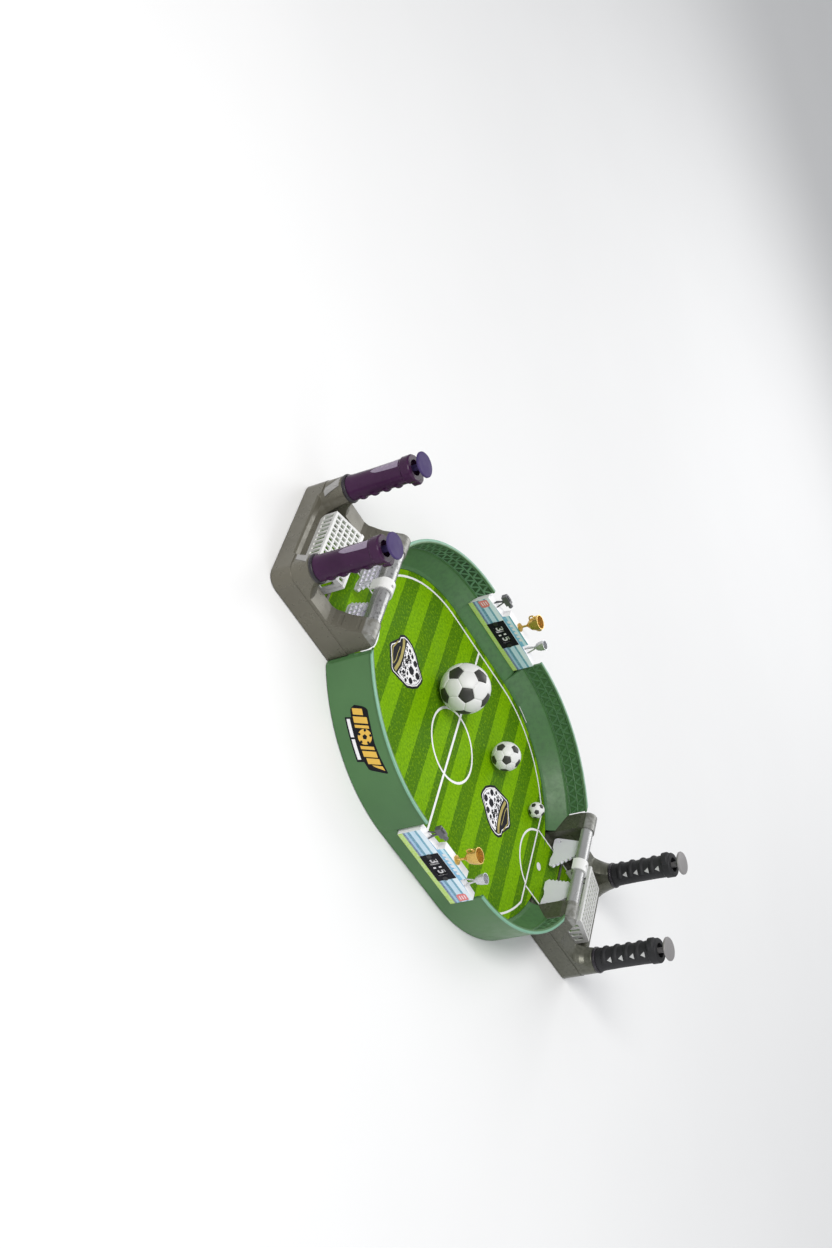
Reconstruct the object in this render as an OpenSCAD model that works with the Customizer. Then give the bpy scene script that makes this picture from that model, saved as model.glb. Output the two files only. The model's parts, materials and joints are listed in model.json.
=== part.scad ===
// Tabletop soccer game: oval pitch in a curb wall, two end frames with grips, thumb buttons,
// push bars and swinging kickers, two goals, two scoreboards and three loose balls.
// +X towards the black grips, -X towards the purple grips, +Z up, origin under the middle.

/* [Pitch] */
// radius of the wall's outer face
wall_r = 187; // [180:1:200]
// distance of each end arc's centre from the halfway line
arc_x = 62; // [55:1:70]
// height of the wall's rim
wall_h = 60; // [55:1:66]
// thickness of the wall's skin
wall_t = 3; // [2.4:0.2:4]

/* [Handles] */
// radius of the grip's body
grip_r = 13.8; // [12:0.1:14.4]
// height of the grip's top
grip_top = 133; // [130:1:140]
// radius of the thumb disc
disc_r = 14.5; // [12:0.5:15]

/* [Kickers] */
// height of the kicker's shaft
shaft_z = 57; // [56:0.5:58]
// length of the paddle below its shaft
paddle_l = 43; // [34:1:45]
// width of the paddle at its foot
paddle_w = 46; // [34:1:46]

/* [Balls] */
// radius of the large ball
ball_a = 30; // [26:1:32]
// radius of the middle ball
ball_b = 18; // [16:1:20]
// radius of the small ball
ball_c = 10; // [8:1:12]

/* [Hidden] */
$fn = 48;

floor_z = 9.2;
turf_z = 9.8;
foot_z = 1;
end_x = 226;
frame_x0 = 226.3;
frame_x1 = 347;
frame_y = 83;
arm_in = 58;
arm_top = 30;
skin = 2.4;
boss_x = 331;
boss_y = 67;
boss_r = 16;
boss_top = 48;
ridge_x = 324.6;
shaft_x = 238;
stroke = 8;
stem_r = 3.5;
fit = 0.06;
swing = 16.5;
arm_l = stroke / (2 * sin(swing));
rock_x = boss_x - arm_l;
rock_z = 22;
rock_out = 12;
kick = 25;
crank_r = rock_out * sin(swing) / sin(kick);
nose_z = rock_z + (arm_l * sin(swing) + 2 + stem_r + 0.35) / cos(swing);
in_pin = [rock_x + rock_out * sin(swing), rock_z - rock_out * cos(swing)];
out_pin = [shaft_x + crank_r * sin(kick), shaft_z - crank_r * cos(kick)];
board_y0 = 181;
board_y1 = 191;
board_z0 = 21.3;
dial_x = 18.5;
dial_z = 38;
goal_x0 = 284;
goal_x1 = 324.2;
goal_w = 42;
goal_f = 45;
goal_b = 36;

function arc(c, r, a0, a1, n) =
  [for (i = [0:n]) [c[0] + r * cos(a0 + (a1 - a0) * i / n), c[1] + r * sin(a0 + (a1 - a0) * i / n)]];

// copy for one end (sx) and one side (sy)
module at_end(sx) { mirror([sx < 0 ? 1 : 0, 0, 0]) children(); }
module at_side(sy) { mirror([0, sy < 0 ? 1 : 0, 0]) children(); }
module at_station(sx, sy) { at_end(sx) at_side(sy) children(); }
module all_stations() { for (sx = [-1, 1], sy = [-1, 1]) at_station(sx, sy) children(); }

// extrudes an outline drawn in X and Z from y0 to y1
module slab_y(y0, y1) { translate([0, y1, 0]) rotate([90, 0, 0]) linear_extrude(y1 - y0) children(); }
module box(a, b) { translate(a) cube(b - a); }
module pin_y(x, z, r, y0, y1) { translate([x, y0, z]) rotate([-90, 0, 0]) cylinder(r = r, h = y1 - y0); }

// ---------- pitch ----------
module half_oval(r, z0, z1) {
  translate([0, 0, z0]) linear_extrude(z1 - z0) intersection() {
    union() {
      translate([arc_x, 0]) circle(r, $fn = 120);
      translate([-1, -r]) square([arc_x + 1, 2 * r]);
    }
    translate([0.1, -r - 1]) square([end_x - 0.2, 2 * r + 2]);
  }
}

module tongue(z0, z1) {
  box([end_x - 1, -46, z0], [goal_x0 - 2.3, 46, z1]);
  box([goal_x0 - 3, -39.4, z0], [321, 39.4, z1]);
}

module pitch_base() {
  color("#3f7a46") difference() {
    union() {
      half_oval(166, 6.2, floor_z);
      tongue(8.1, floor_z);
      // stiffening ribs below the floor
      for (y = [-120, -60, 60, 120]) box([0.1, y - 1.2, 3.6], [170, y + 1.2, 6.3]);
      for (x = [40, 110, 180]) box([x - 1.2, -120, 3.6], [x + 1.2, 120, 6.3]);
      for (y = [-90, 90]) translate([75, y, foot_z]) cylinder(r = 7, h = 6);
      translate([165, 0, foot_z]) cylinder(r = 7, h = 6);
    }
    // pockets for the joining clips
    for (y = [-110, 0, 110]) box([-1, y - 9.2, 3], [22.3, y + 9.2, 6.25]);
    for (y = [-110, 0, 110]) translate([14, y, 6]) cylinder(r = 1.55, h = 2.3);
  }
}

module turf() {
  color("#7fb814") union() {
    half_oval(165.8, floor_z, turf_z);
    tongue(floor_z, turf_z);
  }
}

module joining_clips() {
  color("#3f7a46") for (y = [-110, 0, 110]) difference() {
    box([-22, y - 9, 3.2], [22, y + 9, 6.15]);
    for (x = [-14, 14]) translate([x, y, 3]) cylinder(r = 1.6, h = 4);
  }
}

wall_in = wall_r - wall_t;
// section of the wall: rim, skin, kerb ramp down to the pitch
wall_section = [
  [wall_in, foot_z], [wall_r, foot_z], [wall_r, wall_h - 3], [wall_r + 1, wall_h - 2.4],
  [wall_r + 1, wall_h - 0.6], [wall_r + 0.4, wall_h], [wall_in - 0.4, wall_h],
  [wall_in - 1, wall_h - 0.6], [wall_in - 1, wall_h - 2.4], [wall_in, wall_h - 3],
  [wall_in, 35.4], [wall_in - 1, 35], [wall_in - 1, 33.4], [wall_in - 1.6, 32],
  [170, 12.4], [167.6, 10.4], [166.2, 10.2], [166.2, 7], [168.6, 7.6], [wall_in, 27.6]
];
sill_section = [
  [wall_in, foot_z], [wall_r, foot_z], [wall_r, 20.8], [180.6, 20.8], [178, 19.4],
  [170, 11.6], [167.6, 10.4], [166.2, 10.2], [166.2, 7], [168.6, 7.6], [wall_in, 18]
];

module wall_arc() {
  difference() {
    translate([arc_x, 0, 0]) rotate([0, 0, 20]) rotate_extrude(angle = 70, $fn = 144) polygon(wall_section);
    box([end_x, 0, -1], [260, 140, 80]);
    box([arc_x - 9, 150, -1], [arc_x + 0.15, 200, 80]);
  }
}

module wall_sill() {
  intersection() {
    box([-arc_x, 150, 0], [arc_x + 0.6, 200, 80]);
    translate([arc_x + 1, 0, 0]) rotate([90, 0, -90]) linear_extrude(2 * arc_x + 2)
      polygon([for (p = sill_section) [-p[0], p[1]]]);
  }
}

// the far-left and near-right walls carry the low sill below a scoreboard
module wall(sx, sy) {
  color("#4b8157") at_station(sx, sy) {
    wall_arc();
    if (sx != sy) wall_sill();
  }
}

module rubber_feet() {
  color("#222222") {
    all_stations() {
      for (x = [240, 300]) translate([x, 69, 0]) cylinder(r = 6, h = foot_z + 0.2);
      translate([75, 90, 0]) cylinder(r = 6, h = foot_z);
    }
    for (sx = [-1, 1]) at_end(sx) {
      translate([165, 0, 0]) cylinder(r = 6, h = foot_z);
      translate([334, 0, 0]) cylinder(r = 6, h = foot_z + 0.2);
    }
  }
}

// ---------- scoreboards ----------
board_outline = [
  [-59.4, board_z0], [59.4, board_z0], [59.4, 50], [26, 52], [25, 61], [-25, 61], [-26, 52], [-59.4, 50]
];

module scoreboard() {
  color("#eeeeee") difference() {
    slab_y(board_y0, board_y1) polygon(board_outline);
    // room for the two dials
    for (s = [-1, 1]) {
      pin_y(s * dial_x, dial_z, 14.6, board_y0 + 1.6, board_y1 - 1.6);
      pin_y(s * dial_x, dial_z, 3 + fit, board_y0 - 1, board_y1 + 1);
      box([s * 9 - 5, board_y0 - 1, dial_z - 7], [s * 9 + 5, board_y1 + 1, dial_z + 7]);
    }
  }
}

module dial(s) {
  color("#1c1c1e") union() {
    pin_y(s * dial_x, dial_z, 14, board_y0 + 2.1, board_y1 - 2.1);
    pin_y(s * dial_x, dial_z, 3, board_y0 - 1, board_y1 + 1);
  }
}

module cups_gold() {
  color("#c79a2e") for (sy = [-1, 1]) at_side(sy) translate([0, 186, 61]) {
    rotate_extrude($fn = 40) polygon([
      [0, 0], [5.4, 0], [5.4, 1.4], [3.4, 2.6], [1.4, 4.2], [1.4, 10], [3.4, 12.4], [7.2, 16.6],
      [8.9, 22.4], [9.2, 29], [8.1, 29], [7.8, 22.8], [6.3, 17.6], [2.8, 14.2], [0, 13]
    ]);
    for (s = [0, 180]) rotate([0, 0, s]) translate([8.4, 0, 22]) rotate([90, 0, 0])
      rotate([0, 0, -100]) rotate_extrude(angle = 200, $fn = 40) translate([3.9, 0]) circle(0.9, $fn = 16);
  }
}

module cups_silver() {
  color("#bfc2c6") for (sy = [-1, 1]) at_side(sy) translate([36, 186, 50]) {
    rotate_extrude($fn = 40) polygon([
      [0, 15], [2.6, 15], [4.4, 16.8], [5.8, 21], [6.4, 28], [5.5, 28], [4.9, 21.6], [3.2, 18.2], [0, 17.2]
    ]);
    translate([0, 0, 13.4]) cylinder(r = 2, h = 2);
    for (a = [90, 210, 330]) rotate([0, 0, a]) translate([0.9, 0, 14.6]) rotate([0, 165, 0])
      cylinder(r = 0.9, h = a == 90 ? 13.5 : 13.2);
  }
}

module tripod_cameras() {
  color("#55585c") for (sy = [-1, 1]) at_side(sy) translate([-44, 186, 50]) {
    translate([0, 0, 10.6]) cylinder(r = 2, h = 3);
    for (a = [90, 210, 330]) rotate([0, 0, a]) translate([0.8, 0, 12]) rotate([0, 162, 0])
      cylinder(r = 0.9, h = a == 90 ? 11.4 : 11.1);
    translate([-8, -3, 13.2]) cube([14, 6, 7]);
    translate([5.5, 0, 16.8]) rotate([0, 90, 0]) cylinder(r = 2.7, h = 5);
    translate([-6, -1.4, 19.6]) cube([7, 2.8, 2.2]);
  }
}

// ---------- end frames ----------
arm_profile = concat(
  [[frame_x0, foot_z], [frame_x0, 52]],
  arc([shaft_x, shaft_z], 10.4, 180, 30, 14),
  [[258, 44], [270, arm_top + 2], [276, arm_top], [frame_x1, arm_top], [frame_x1, foot_z]]
);
arm_cavity = concat(
  [[frame_x0 + skin, 0], [frame_x0 + skin, 54]],
  arc([shaft_x, shaft_z], 8, 180, 30, 12),
  [[256, 42.4], [268, arm_top - 1], [275, arm_top - skin]],
  [[frame_x1 - skin, arm_top - skin], [frame_x1 - skin, 0]]
);
bar_profile = [
  [ridge_x, foot_z], [frame_x1, foot_z], [frame_x1, 22], [frame_x1 - 1.6, 24], [339, 24],
  [337.4, 22], [336.6, 16.6], [335.6, 16], [ridge_x, 16]
];
bar_cavity = [
  [ridge_x + skin, 0], [frame_x1 - skin, 0], [frame_x1 - skin, 21.4], [339.6, 21.4],
  [338.8, 15], [337, 13.6], [ridge_x + skin, 13.6]
];

// swoop that leads the arm up to the handle's seat, and a steeper one for the bar
swoop_arm = [
  [0, foot_z], [30, foot_z], [30, 28.6], [26, 31], [22, 34.6], [18.6, 39.4],
  [16.6, 44], [15.7, 47.2], [15, 48], [0, 48]
];
swoop_bar = [
  [0, foot_z], [34, foot_z], [34, 14], [29, 17.4], [24, 23], [20.4, 30], [17.8, 38],
  [16.4, 44], [15.7, 47.2], [15, 48], [0, 48]
];

module frame_plan(inset) {
  r = boss_r - inset;
  polygon(concat(
    [[frame_x0, -frame_y + inset]],
    arc([frame_x1 - boss_r, -frame_y + boss_r], r, -90, 0, 14),
    arc([frame_x1 - boss_r, frame_y - boss_r], r, 0, 90, 14),
    [[frame_x0, frame_y - inset]]
  ));
}

// places of the screws that hold the cover
cover_screws = [[232, 78], [308, 78], [334.5, 18]];

module frame_shell() {
  difference() {
    union() {
      intersection() {
        union() {
          for (sy = [-1, 1]) at_side(sy) slab_y(arm_in, frame_y) polygon(arm_profile);
          slab_y(-frame_y, frame_y) polygon(bar_profile);
          for (sy = [-1, 1]) at_side(sy) {
            intersection() {
              translate([boss_x, boss_y, 0]) rotate_extrude($fn = 72) polygon(swoop_arm);
              box([270, arm_in, 0], [360, 90, 60]);
            }
            intersection() {
              translate([boss_x, boss_y, 0]) rotate_extrude($fn = 72) polygon(swoop_bar);
              box([ridge_x, 5, 0], [360, 90, 60]);
            }
          }
        }
        // outline with a shoulder line all round
        union() {
          linear_extrude(26) frame_plan(0);
          linear_extrude(80) frame_plan(0.9);
        }
      }
      for (sy = [-1, 1]) translate([boss_x, sy * boss_y, foot_z]) {
        cylinder(r = 15.5, h = boss_top - foot_z - 1);
        cylinder(r = 14.6, h = boss_top - foot_z - 0.2);
      }
      // floor between the arms
      box([frame_x0, -arm_in - 1, 5], [ridge_x + 1, arm_in + 1, 8]);
      // cross strap over the turf
      box([266, -arm_in - 0.5, turf_z + 0.1], [270, arm_in + 0.5, turf_z + 1.3]);
      for (sy = [-1, 1]) at_side(sy) box([266, 46.3, 7.5], [270, arm_in + 0.5, turf_z + 1.3]);
    }
    intersection() {
      union() {
        for (sy = [-1, 1]) at_side(sy) slab_y(arm_in + skin, frame_y - skin) polygon(arm_cavity);
        slab_y(-frame_y + skin, frame_y - skin) polygon(bar_cavity);
      }
      linear_extrude(80) frame_plan(skin);
    }
    for (sy = [-1, 1]) at_side(sy) {
      translate([boss_x, boss_y, 0]) cylinder(r = boss_r - skin, h = boss_top - skin);
      translate([boss_x, boss_y, 0]) cylinder(r = 9.1, h = 60);
      // bearing for the kicker's shaft
      pin_y(shaft_x, shaft_z, 3 + fit, arm_in - 1, arm_in + skin + 1);
      // seats of the rocker's pin
      pin_y(rock_x, rock_z, 2.03, arm_in + 1, frame_y - 1);
      // ribbed pockets in the sloping face of the post
      for (i = [0:2]) translate([253 + 5.6 * i, 0, 53 - 7.4 * i]) rotate([0, 40, 0])
        box([-2.2, arm_in + 4, -0.8], [2.2, frame_y - 5, 6]);
    }
  }
}

module end_frame() {
  color("#8b867b") difference() {
    union() {
      frame_shell();
      for (sy = [-1, 1], p = cover_screws)
        translate([p[0], sy * p[1], foot_z + 2.3]) cylinder(r = 3.2, h = 12);
    }
    for (sy = [-1, 1], p = cover_screws)
      translate([p[0], sy * p[1], 0]) cylinder(r = 1.55, h = 8);
  }
}

module frame_cover() {
  color("#6d695f") difference() {
    union() {
      intersection() {
        translate([0, 0, foot_z + 0.2]) linear_extrude(2) frame_plan(skin + 0.3);
        union() {
          for (sy = [-1, 1]) at_side(sy) box([frame_x0 + skin + 0.3, arm_in + skin + 0.3, 0], [400, 100, 10]);
          box([ridge_x + skin + 0.3, -100, 0], [400, 100, 10]);
        }
      }
      // guide rails of the push bars
      for (sy = [-1, 1]) at_side(sy) for (y = [65.6, 71.1])
        box([262, y, foot_z + 2], [300, y + 1.4, 12]);
    }
    for (sy = [-1, 1], p = cover_screws) translate([p[0], sy * p[1], 0]) cylinder(r = 1.6, h = 6);
  }
}

module screw(x, y, z) {
  translate([x, y, z]) {
    cylinder(r = 2.8, h = 1.1);
    cylinder(r = 1.5, h = 6);
  }
}

module screws() {
  color("#b9bcc0") {
    all_stations() for (p = cover_screws) screw(p[0], p[1], 0.1);
    for (x = [-14, 14], y = [-110, 0, 110]) screw(x, y, 2.05);
  }
}

module pivot_pins() {
  color("#c8c8c8") all_stations() pin_y(rock_x, rock_z, 2, arm_in + 1.2, frame_y - 1.2);
}

// ---------- crossbeam ----------
beam_out = concat(
  [[shaft_x - 9, 55.4]], arc([shaft_x, shaft_z], 9, 180, 0, 24), [[shaft_x + 9, 51.5]],
  [[shaft_x + 6.6, 51.5]], arc([shaft_x, shaft_z], 6.6, 0, 180, 20), [[shaft_x - 6.6, 55.4]]
);

module crossbeam() {
  y1 = arm_in - 0.1;
  color("#b4b4b2") difference() {
    union() {
      slab_y(-y1, y1) polygon(beam_out);
      // bearing webs
      intersection() {
        slab_y(-10.4, 10.4) translate([shaft_x, shaft_z]) circle(8.6);
        box([200, -10.4, 50], [260, 10.4, 70]);
      }
    }
    pin_y(shaft_x, shaft_z, 3 + fit, -20, 20);
    box([shaft_x - 2.4, -20, 40], [shaft_x + 2.4, 20, shaft_z]);
  }
}

module beam_clip() {
  difference() {
    union() {
      slab_y(-8, 8) polygon(concat(
        [[shaft_x - 11, 54]], arc([shaft_x, shaft_z], 11, 180, 0, 24), [[shaft_x + 11, 50]],
        [[shaft_x + 9.15, 50]], arc([shaft_x, shaft_z], 9.15, 0, 180, 24), [[shaft_x - 9.15, 54]]));
      box([shaft_x + 9.15, -8, 46], [shaft_x + 11, 8, 51]);
    }
    translate([shaft_x, 0, 60]) cylinder(r = 2.2, h = 20);
  }
}

module beam_clips() { color("#f2f2f2") for (sx = [-1, 1]) at_end(sx) beam_clip(); }

// ---------- goals ----------
module goal() {
  color("#f3f3ef") difference() {
    union() {
      for (sy = [-1, 1]) at_side(sy) slab_y(goal_w - 2, goal_w)
        polygon([[goal_x0, 8.1], [goal_x1, 8.1], [goal_x1, goal_b], [goal_x0, goal_f]]);
      box([goal_x1 - 2, -goal_w, 8.1], [goal_x1, goal_w, goal_b]);
      slab_y(-goal_w, goal_w)
        polygon([[goal_x0, goal_f - 2.2], [goal_x1, goal_b - 2.2], [goal_x1, goal_b], [goal_x0, goal_f]]);
      // front frame
      slab_y(-goal_w - 1, goal_w + 1) polygon([[goal_x0 - 2, goal_f - 4], [goal_x0 + 2, goal_f - 4],
        [goal_x0 + 2, goal_f], [goal_x0 - 2, goal_f]]);
      for (sy = [-1, 1]) at_side(sy) box([goal_x0 - 2, goal_w - 3, 10.2], [goal_x0 + 2, goal_w + 1, goal_f]);
    }
    // square holes of the roof
    for (i = [0:4], j = [-5:5]) translate([goal_x0 + 5.8 + 7.2 * i, 7.2 * j, 50])
      cube([5.3, 5.2, 40], center = true);
    // slots of the back
    for (j = [-5:5]) box([goal_x1 - 4, 7.2 * j - 2.2, 20], [goal_x1 + 2, 7.2 * j + 2.2, goal_b - 3.4]);
    // slots of the sides
    for (k = [0:3]) box([goal_x0 + 6.2 + 8 * k, -60, 20], [goal_x0 + 10.6 + 8 * k, 60, 37 - 1.8 * k]);
  }
}

// ---------- handle ----------
module collar() {
  translate([boss_x, boss_y, 0]) difference() {
    union() {
      translate([0, 0, boss_top]) rotate_extrude() polygon([
        [5, 0], [15.2, 0], [16.2, 0.8], [16.4, 2], [15.9, 3.4], [15, 4], [5, 4]]);
      translate([0, 0, 44]) cylinder(r = 9, h = 5);
      translate([0, 0, 44]) cylinder(r = 5.2, h = 44);
    }
    translate([0, 0, 40]) cylinder(r = stem_r + fit, h = 60);
  }
}

module grip_collars() { color("#26242a") all_stations() collar(); }

module grip() {
  z0 = boss_top + 4.1;
  h = grip_top - z0;
  translate([boss_x, boss_y, z0]) difference() {
    union() {
      rotate_extrude(angle = 360, $fn = 64) polygon([
        [4, 0], [grip_r + 0.6, 0], [grip_r + 0.7, 2], [grip_r + 0.2, 6], [grip_r - 0.2, h * 0.35],
        [grip_r - 0.1, h * 0.7], [grip_r + 0.2, h - 12], [grip_r + 1.4, h - 10.4], [grip_r + 1.5, h - 1.4],
        [grip_r + 0.4, h], [4, h]]);
      // finger ridges towards the pitch
      for (i = [0:3]) translate([0, 0, 11 + 15 * i]) rotate([0, 0, 115])
        rotate_extrude(angle = 130, $fn = 64) translate([grip_r - 1.4, 0]) circle(3.4, $fn = 24);
      // lip over the forefinger
      translate([-11, 0, h - 9]) cylinder(r = 9.4, h = 6);
      translate([-11, 0, h - 3]) cylinder(r1 = 9.4, r2 = 8, h = 2);
      translate([-11, -9.4, h - 9]) cube([12, 18.8, 6]);
    }
    translate([0, 0, -1]) cylinder(r = 5.3, h = 118.3 - z0 + 1);
    translate([0, 0, -1]) cylinder(r = stem_r + fit, h = h + 2);
    translate([0, 0, h - 5]) cylinder(r = 9, h = 6);
  }
}

module button() {
  translate([boss_x, boss_y, 0]) {
    translate([0, 0, nose_z]) sphere(stem_r);
    translate([0, 0, nose_z]) cylinder(r = stem_r, h = 143 - nose_z);
    translate([0, 0, 116]) cylinder(r = 5, h = 2);
    translate([0, 0, 137]) cylinder(r1 = stem_r, r2 = 7.5, h = 6);
    translate([0, 0, 142.6]) rotate_extrude($fn = 64) polygon([
      [0, 0], [disc_r - 1, 0], [disc_r, 0.8], [disc_r, 2.2], [disc_r - 0.8, 3], [6, 3.4], [0, 3.4]]);
  }
}

// coil made of tilted half turns that all but touch
module spring() {
  turns = 7;
  rise = 26.6 / (2 * turns);
  tilt = asin(rise / 8.8);
  color("#c9c9c9") translate([boss_x, boss_y, 88.7]) for (i = [0:2 * turns - 1])
    translate([0, 0, rise * (i + 0.5)]) rotate([0, 0, 180 * (i % 2)]) rotate([0, tilt, 0])
      rotate([0, 0, 0.2]) rotate_extrude(angle = 179.6, $fn = 36) translate([4.4, 0]) circle(0.45, $fn = 14);
}

// ---------- rocker, push bar, kicker ----------
// outline around two circles, c1 of radius r1 and c2 of radius r2
function lever(c1, r1, c2, r2) =
  let (d = c2 - c1, l = norm(d), a = atan2(d[1], d[0]), t = acos((r1 - r2) / l))
  concat(arc(c1, r1, a + t, a + 360 - t, 20), arc(c2, r2, a - t, a + t, 12));

module rocker() {
  c = [rock_x, rock_z];
  tip = c + (arm_l + 2) * [cos(swing), sin(swing)];
  color("#d9d4c4") difference() {
    union() {
      pin_y(rock_x, rock_z, 4.5, arm_in + skin + 0.4, frame_y - skin - 0.4);
      // arm under the plunger
      slab_y(62.8, 71) polygon(lever(c, 4.1, tip, 2));
      // arm down to the push bar
      slab_y(63.4, 66.6) polygon(lever(c, 4.2, in_pin, 2.9));
      pin_y(in_pin[0], in_pin[1], 1.8, 65, 71.4);
    }
    pin_y(rock_x, rock_z, 2 + fit, 50, 90);
  }
}

module bar_slot(p) {
  slab_y(60, 80) translate(p) polygon([[-2.15, -2.9], [2.15, -2.9], [2.15, 2.9], [-2.15, 2.9]]);
}

module push_bar() {
  x0 = out_pin[0] - 4.4;
  color("#cfcabb") difference() {
    slab_y(67.6, 70.4) polygon([
      [x0, 7], [x0 + 2, 5.6], [in_pin[0] + 3, 5.6], [in_pin[0] + 4.6, 7.2], [in_pin[0] + 4.6, 14.6],
      [in_pin[0] + 3.6, 15.6], [x0 + 16, 15.6], [x0 + 8.8, 24], [x0 + 8.8, 53.4],
      [x0 + 7.4, 54.6], [x0, 54.6]]);
    bar_slot(in_pin);
    bar_slot(out_pin);
  }
}

// paddle below its shaft, wider towards its foot; teeth on the edge at +Y
module paddle(y0) {
  w = paddle_w;
  l = paddle_l;
  p0 = [w / 2 - 0.9, -l + 3];
  p1 = [11.6, -8];
  difference() {
    union() {
      translate([shaft_x - 1.6, y0 + w / 2, shaft_z]) rotate([90, 0, 90]) linear_extrude(3.2) polygon(concat(
        [[-9.6, 0], [-11.6, -8], [-w / 2 + 0.4, -l + 5], [-w / 2 + 0.6, -l + 1.4], [-w / 2 + 2, -l], [-9, -l],
         [-5, -l + 1.6], [0, -l + 2.4], [5, -l + 1.6], [9, -l], [w / 2 - 3, -l]],
        [for (i = [0:5]) each [p0 + (p1 - p0) * i / 6, p0 + (p1 - p0) * (i + 0.5) / 6 + [2, 0.2]]],
        [p1, [9.6, 0]]));
      pin_y(shaft_x, shaft_z, 4.6, y0 + 9, y0 + w - 8);
      // ribs on the back
      for (i = [-2:2]) box([shaft_x + 1.4, y0 + w / 2 + 7 * i - 0.8, shaft_z - l + 6 + abs(i)],
        [shaft_x + 3.4, y0 + w / 2 + 7 * i + 0.8, shaft_z - 13 - 4 * abs(i)]);
      for (i = [0:3]) box([shaft_x + 1.4, y0 + w / 2 - 17 + 1.8 * i, shaft_z - l + 6 + 6.4 * i],
        [shaft_x + 3.4, y0 + w / 2 + 17 - 1.8 * i, shaft_z - l + 7.6 + 6.4 * i]);
    }
    translate([shaft_x - 5, y0 + 7, shaft_z - l + 9]) rotate([0, 90, 0]) cylinder(r = 1.7, h = 10);
  }
}

module kicker(sx, sy) {
  color("#eeeef4") at_end(sx) {
    at_side(sy) {
      pin_y(shaft_x, shaft_z, 3, 5, 65);
      slab_y(63, 66.6) polygon(lever([shaft_x, shaft_z], 5, out_pin, 3.1));
      pin_y(out_pin[0], out_pin[1], 1.8, 65, 71.2);
    }
    // the teeth face the middle of the beam
    at_side(-sy) paddle(-56.4);
  }
}

module ball(x, y, r) { color("#f0f0f0") translate([x, y, turf_z + r]) sphere(r, $fn = 96); }

purple = "#3a2244";
black = "#2a2a2c";

at_end(-1) pitch_base();  // pitch_base_left
pitch_base();  // pitch_base_right
at_end(-1) turf();  // turf_left
turf();  // turf_right
wall(-1, -1);  // wall_left_near
wall(-1, 1);  // wall_left_far
wall(1, -1);  // wall_right_near
wall(1, 1);  // wall_right_far
joining_clips();
rubber_feet();
screws();
pivot_pins();
at_side(-1) scoreboard();  // scoreboard_near
scoreboard();  // scoreboard_far
cups_gold();
cups_silver();
tripod_cameras();
at_side(-1) dial(-1);  // dial_near_left
at_side(-1) dial(1);  // dial_near_right
dial(-1);  // dial_far_left
dial(1);  // dial_far_right
at_end(-1) end_frame();  // end_frame_left
end_frame();  // end_frame_right
at_end(-1) frame_cover();  // frame_cover_left
frame_cover();  // frame_cover_right
at_end(-1) crossbeam();  // crossbeam_left
crossbeam();  // crossbeam_right
beam_clips();
at_end(-1) goal();  // goal_left
goal();  // goal_right
grip_collars();
color(purple) at_station(-1, -1) grip();  // grip_left_near
color(purple) at_station(-1, 1) grip();  // grip_left_far
color(black) at_station(1, -1) grip();  // grip_right_near
color(black) at_station(1, 1) grip();  // grip_right_far
color("#4b3a78") at_station(-1, -1) button();  // button_left_near
color("#4b3a78") at_station(-1, 1) button();  // button_left_far
color("#8d8a8a") at_station(1, -1) button();  // button_right_near
color("#8d8a8a") at_station(1, 1) button();  // button_right_far
at_station(-1, -1) spring();  // spring_left_near
at_station(-1, 1) spring();  // spring_left_far
at_station(1, -1) spring();  // spring_right_near
at_station(1, 1) spring();  // spring_right_far
at_station(-1, -1) rocker();  // rocker_left_near
at_station(-1, 1) rocker();  // rocker_left_far
at_station(1, -1) rocker();  // rocker_right_near
at_station(1, 1) rocker();  // rocker_right_far
at_station(-1, -1) push_bar();  // push_bar_left_near
at_station(-1, 1) push_bar();  // push_bar_left_far
at_station(1, -1) push_bar();  // push_bar_right_near
at_station(1, 1) push_bar();  // push_bar_right_far
kicker(-1, -1);  // kicker_left_near
kicker(-1, 1);  // kicker_left_far
kicker(1, -1);  // kicker_right_near
kicker(1, 1);  // kicker_right_far
ball(-41, 45, ball_a);  // ball_large
ball(81, 52, ball_b);  // ball_middle
ball(177, 51, ball_c);  // ball_small
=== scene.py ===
import json
import math
import random

import bpy
from mathutils import Matrix, Vector


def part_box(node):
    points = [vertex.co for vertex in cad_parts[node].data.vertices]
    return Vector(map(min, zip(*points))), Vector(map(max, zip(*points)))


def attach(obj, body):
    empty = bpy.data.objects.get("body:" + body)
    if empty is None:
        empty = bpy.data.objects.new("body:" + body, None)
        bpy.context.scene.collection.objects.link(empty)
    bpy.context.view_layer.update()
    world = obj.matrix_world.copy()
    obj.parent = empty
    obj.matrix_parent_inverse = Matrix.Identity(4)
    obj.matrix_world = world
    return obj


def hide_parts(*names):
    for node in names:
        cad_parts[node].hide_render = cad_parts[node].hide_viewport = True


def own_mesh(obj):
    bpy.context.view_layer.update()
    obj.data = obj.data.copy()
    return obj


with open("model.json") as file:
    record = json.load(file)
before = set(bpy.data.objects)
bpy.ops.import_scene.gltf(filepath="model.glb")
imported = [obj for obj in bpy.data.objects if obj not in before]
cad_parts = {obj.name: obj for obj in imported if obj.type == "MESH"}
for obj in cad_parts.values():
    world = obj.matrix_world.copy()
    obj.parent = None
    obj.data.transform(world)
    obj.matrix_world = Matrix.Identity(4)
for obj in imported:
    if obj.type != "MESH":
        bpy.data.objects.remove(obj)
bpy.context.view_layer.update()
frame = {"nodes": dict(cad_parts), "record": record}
nodes = frame["nodes"]
MM = 0.001
# places of the CAD pieces, in millimetres
BOSS_X, BOSS_Y = 331.0, 67.0
BOARD_Y = 186
TURF_Z = 9.8
STRAIGHT_X = 62
DIAL_X, DIAL_Z = 18.5, 38.0
# where the camera stands, in metres
CAM = Vector((-1.18589, -1.38214, 1.01212))


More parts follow.
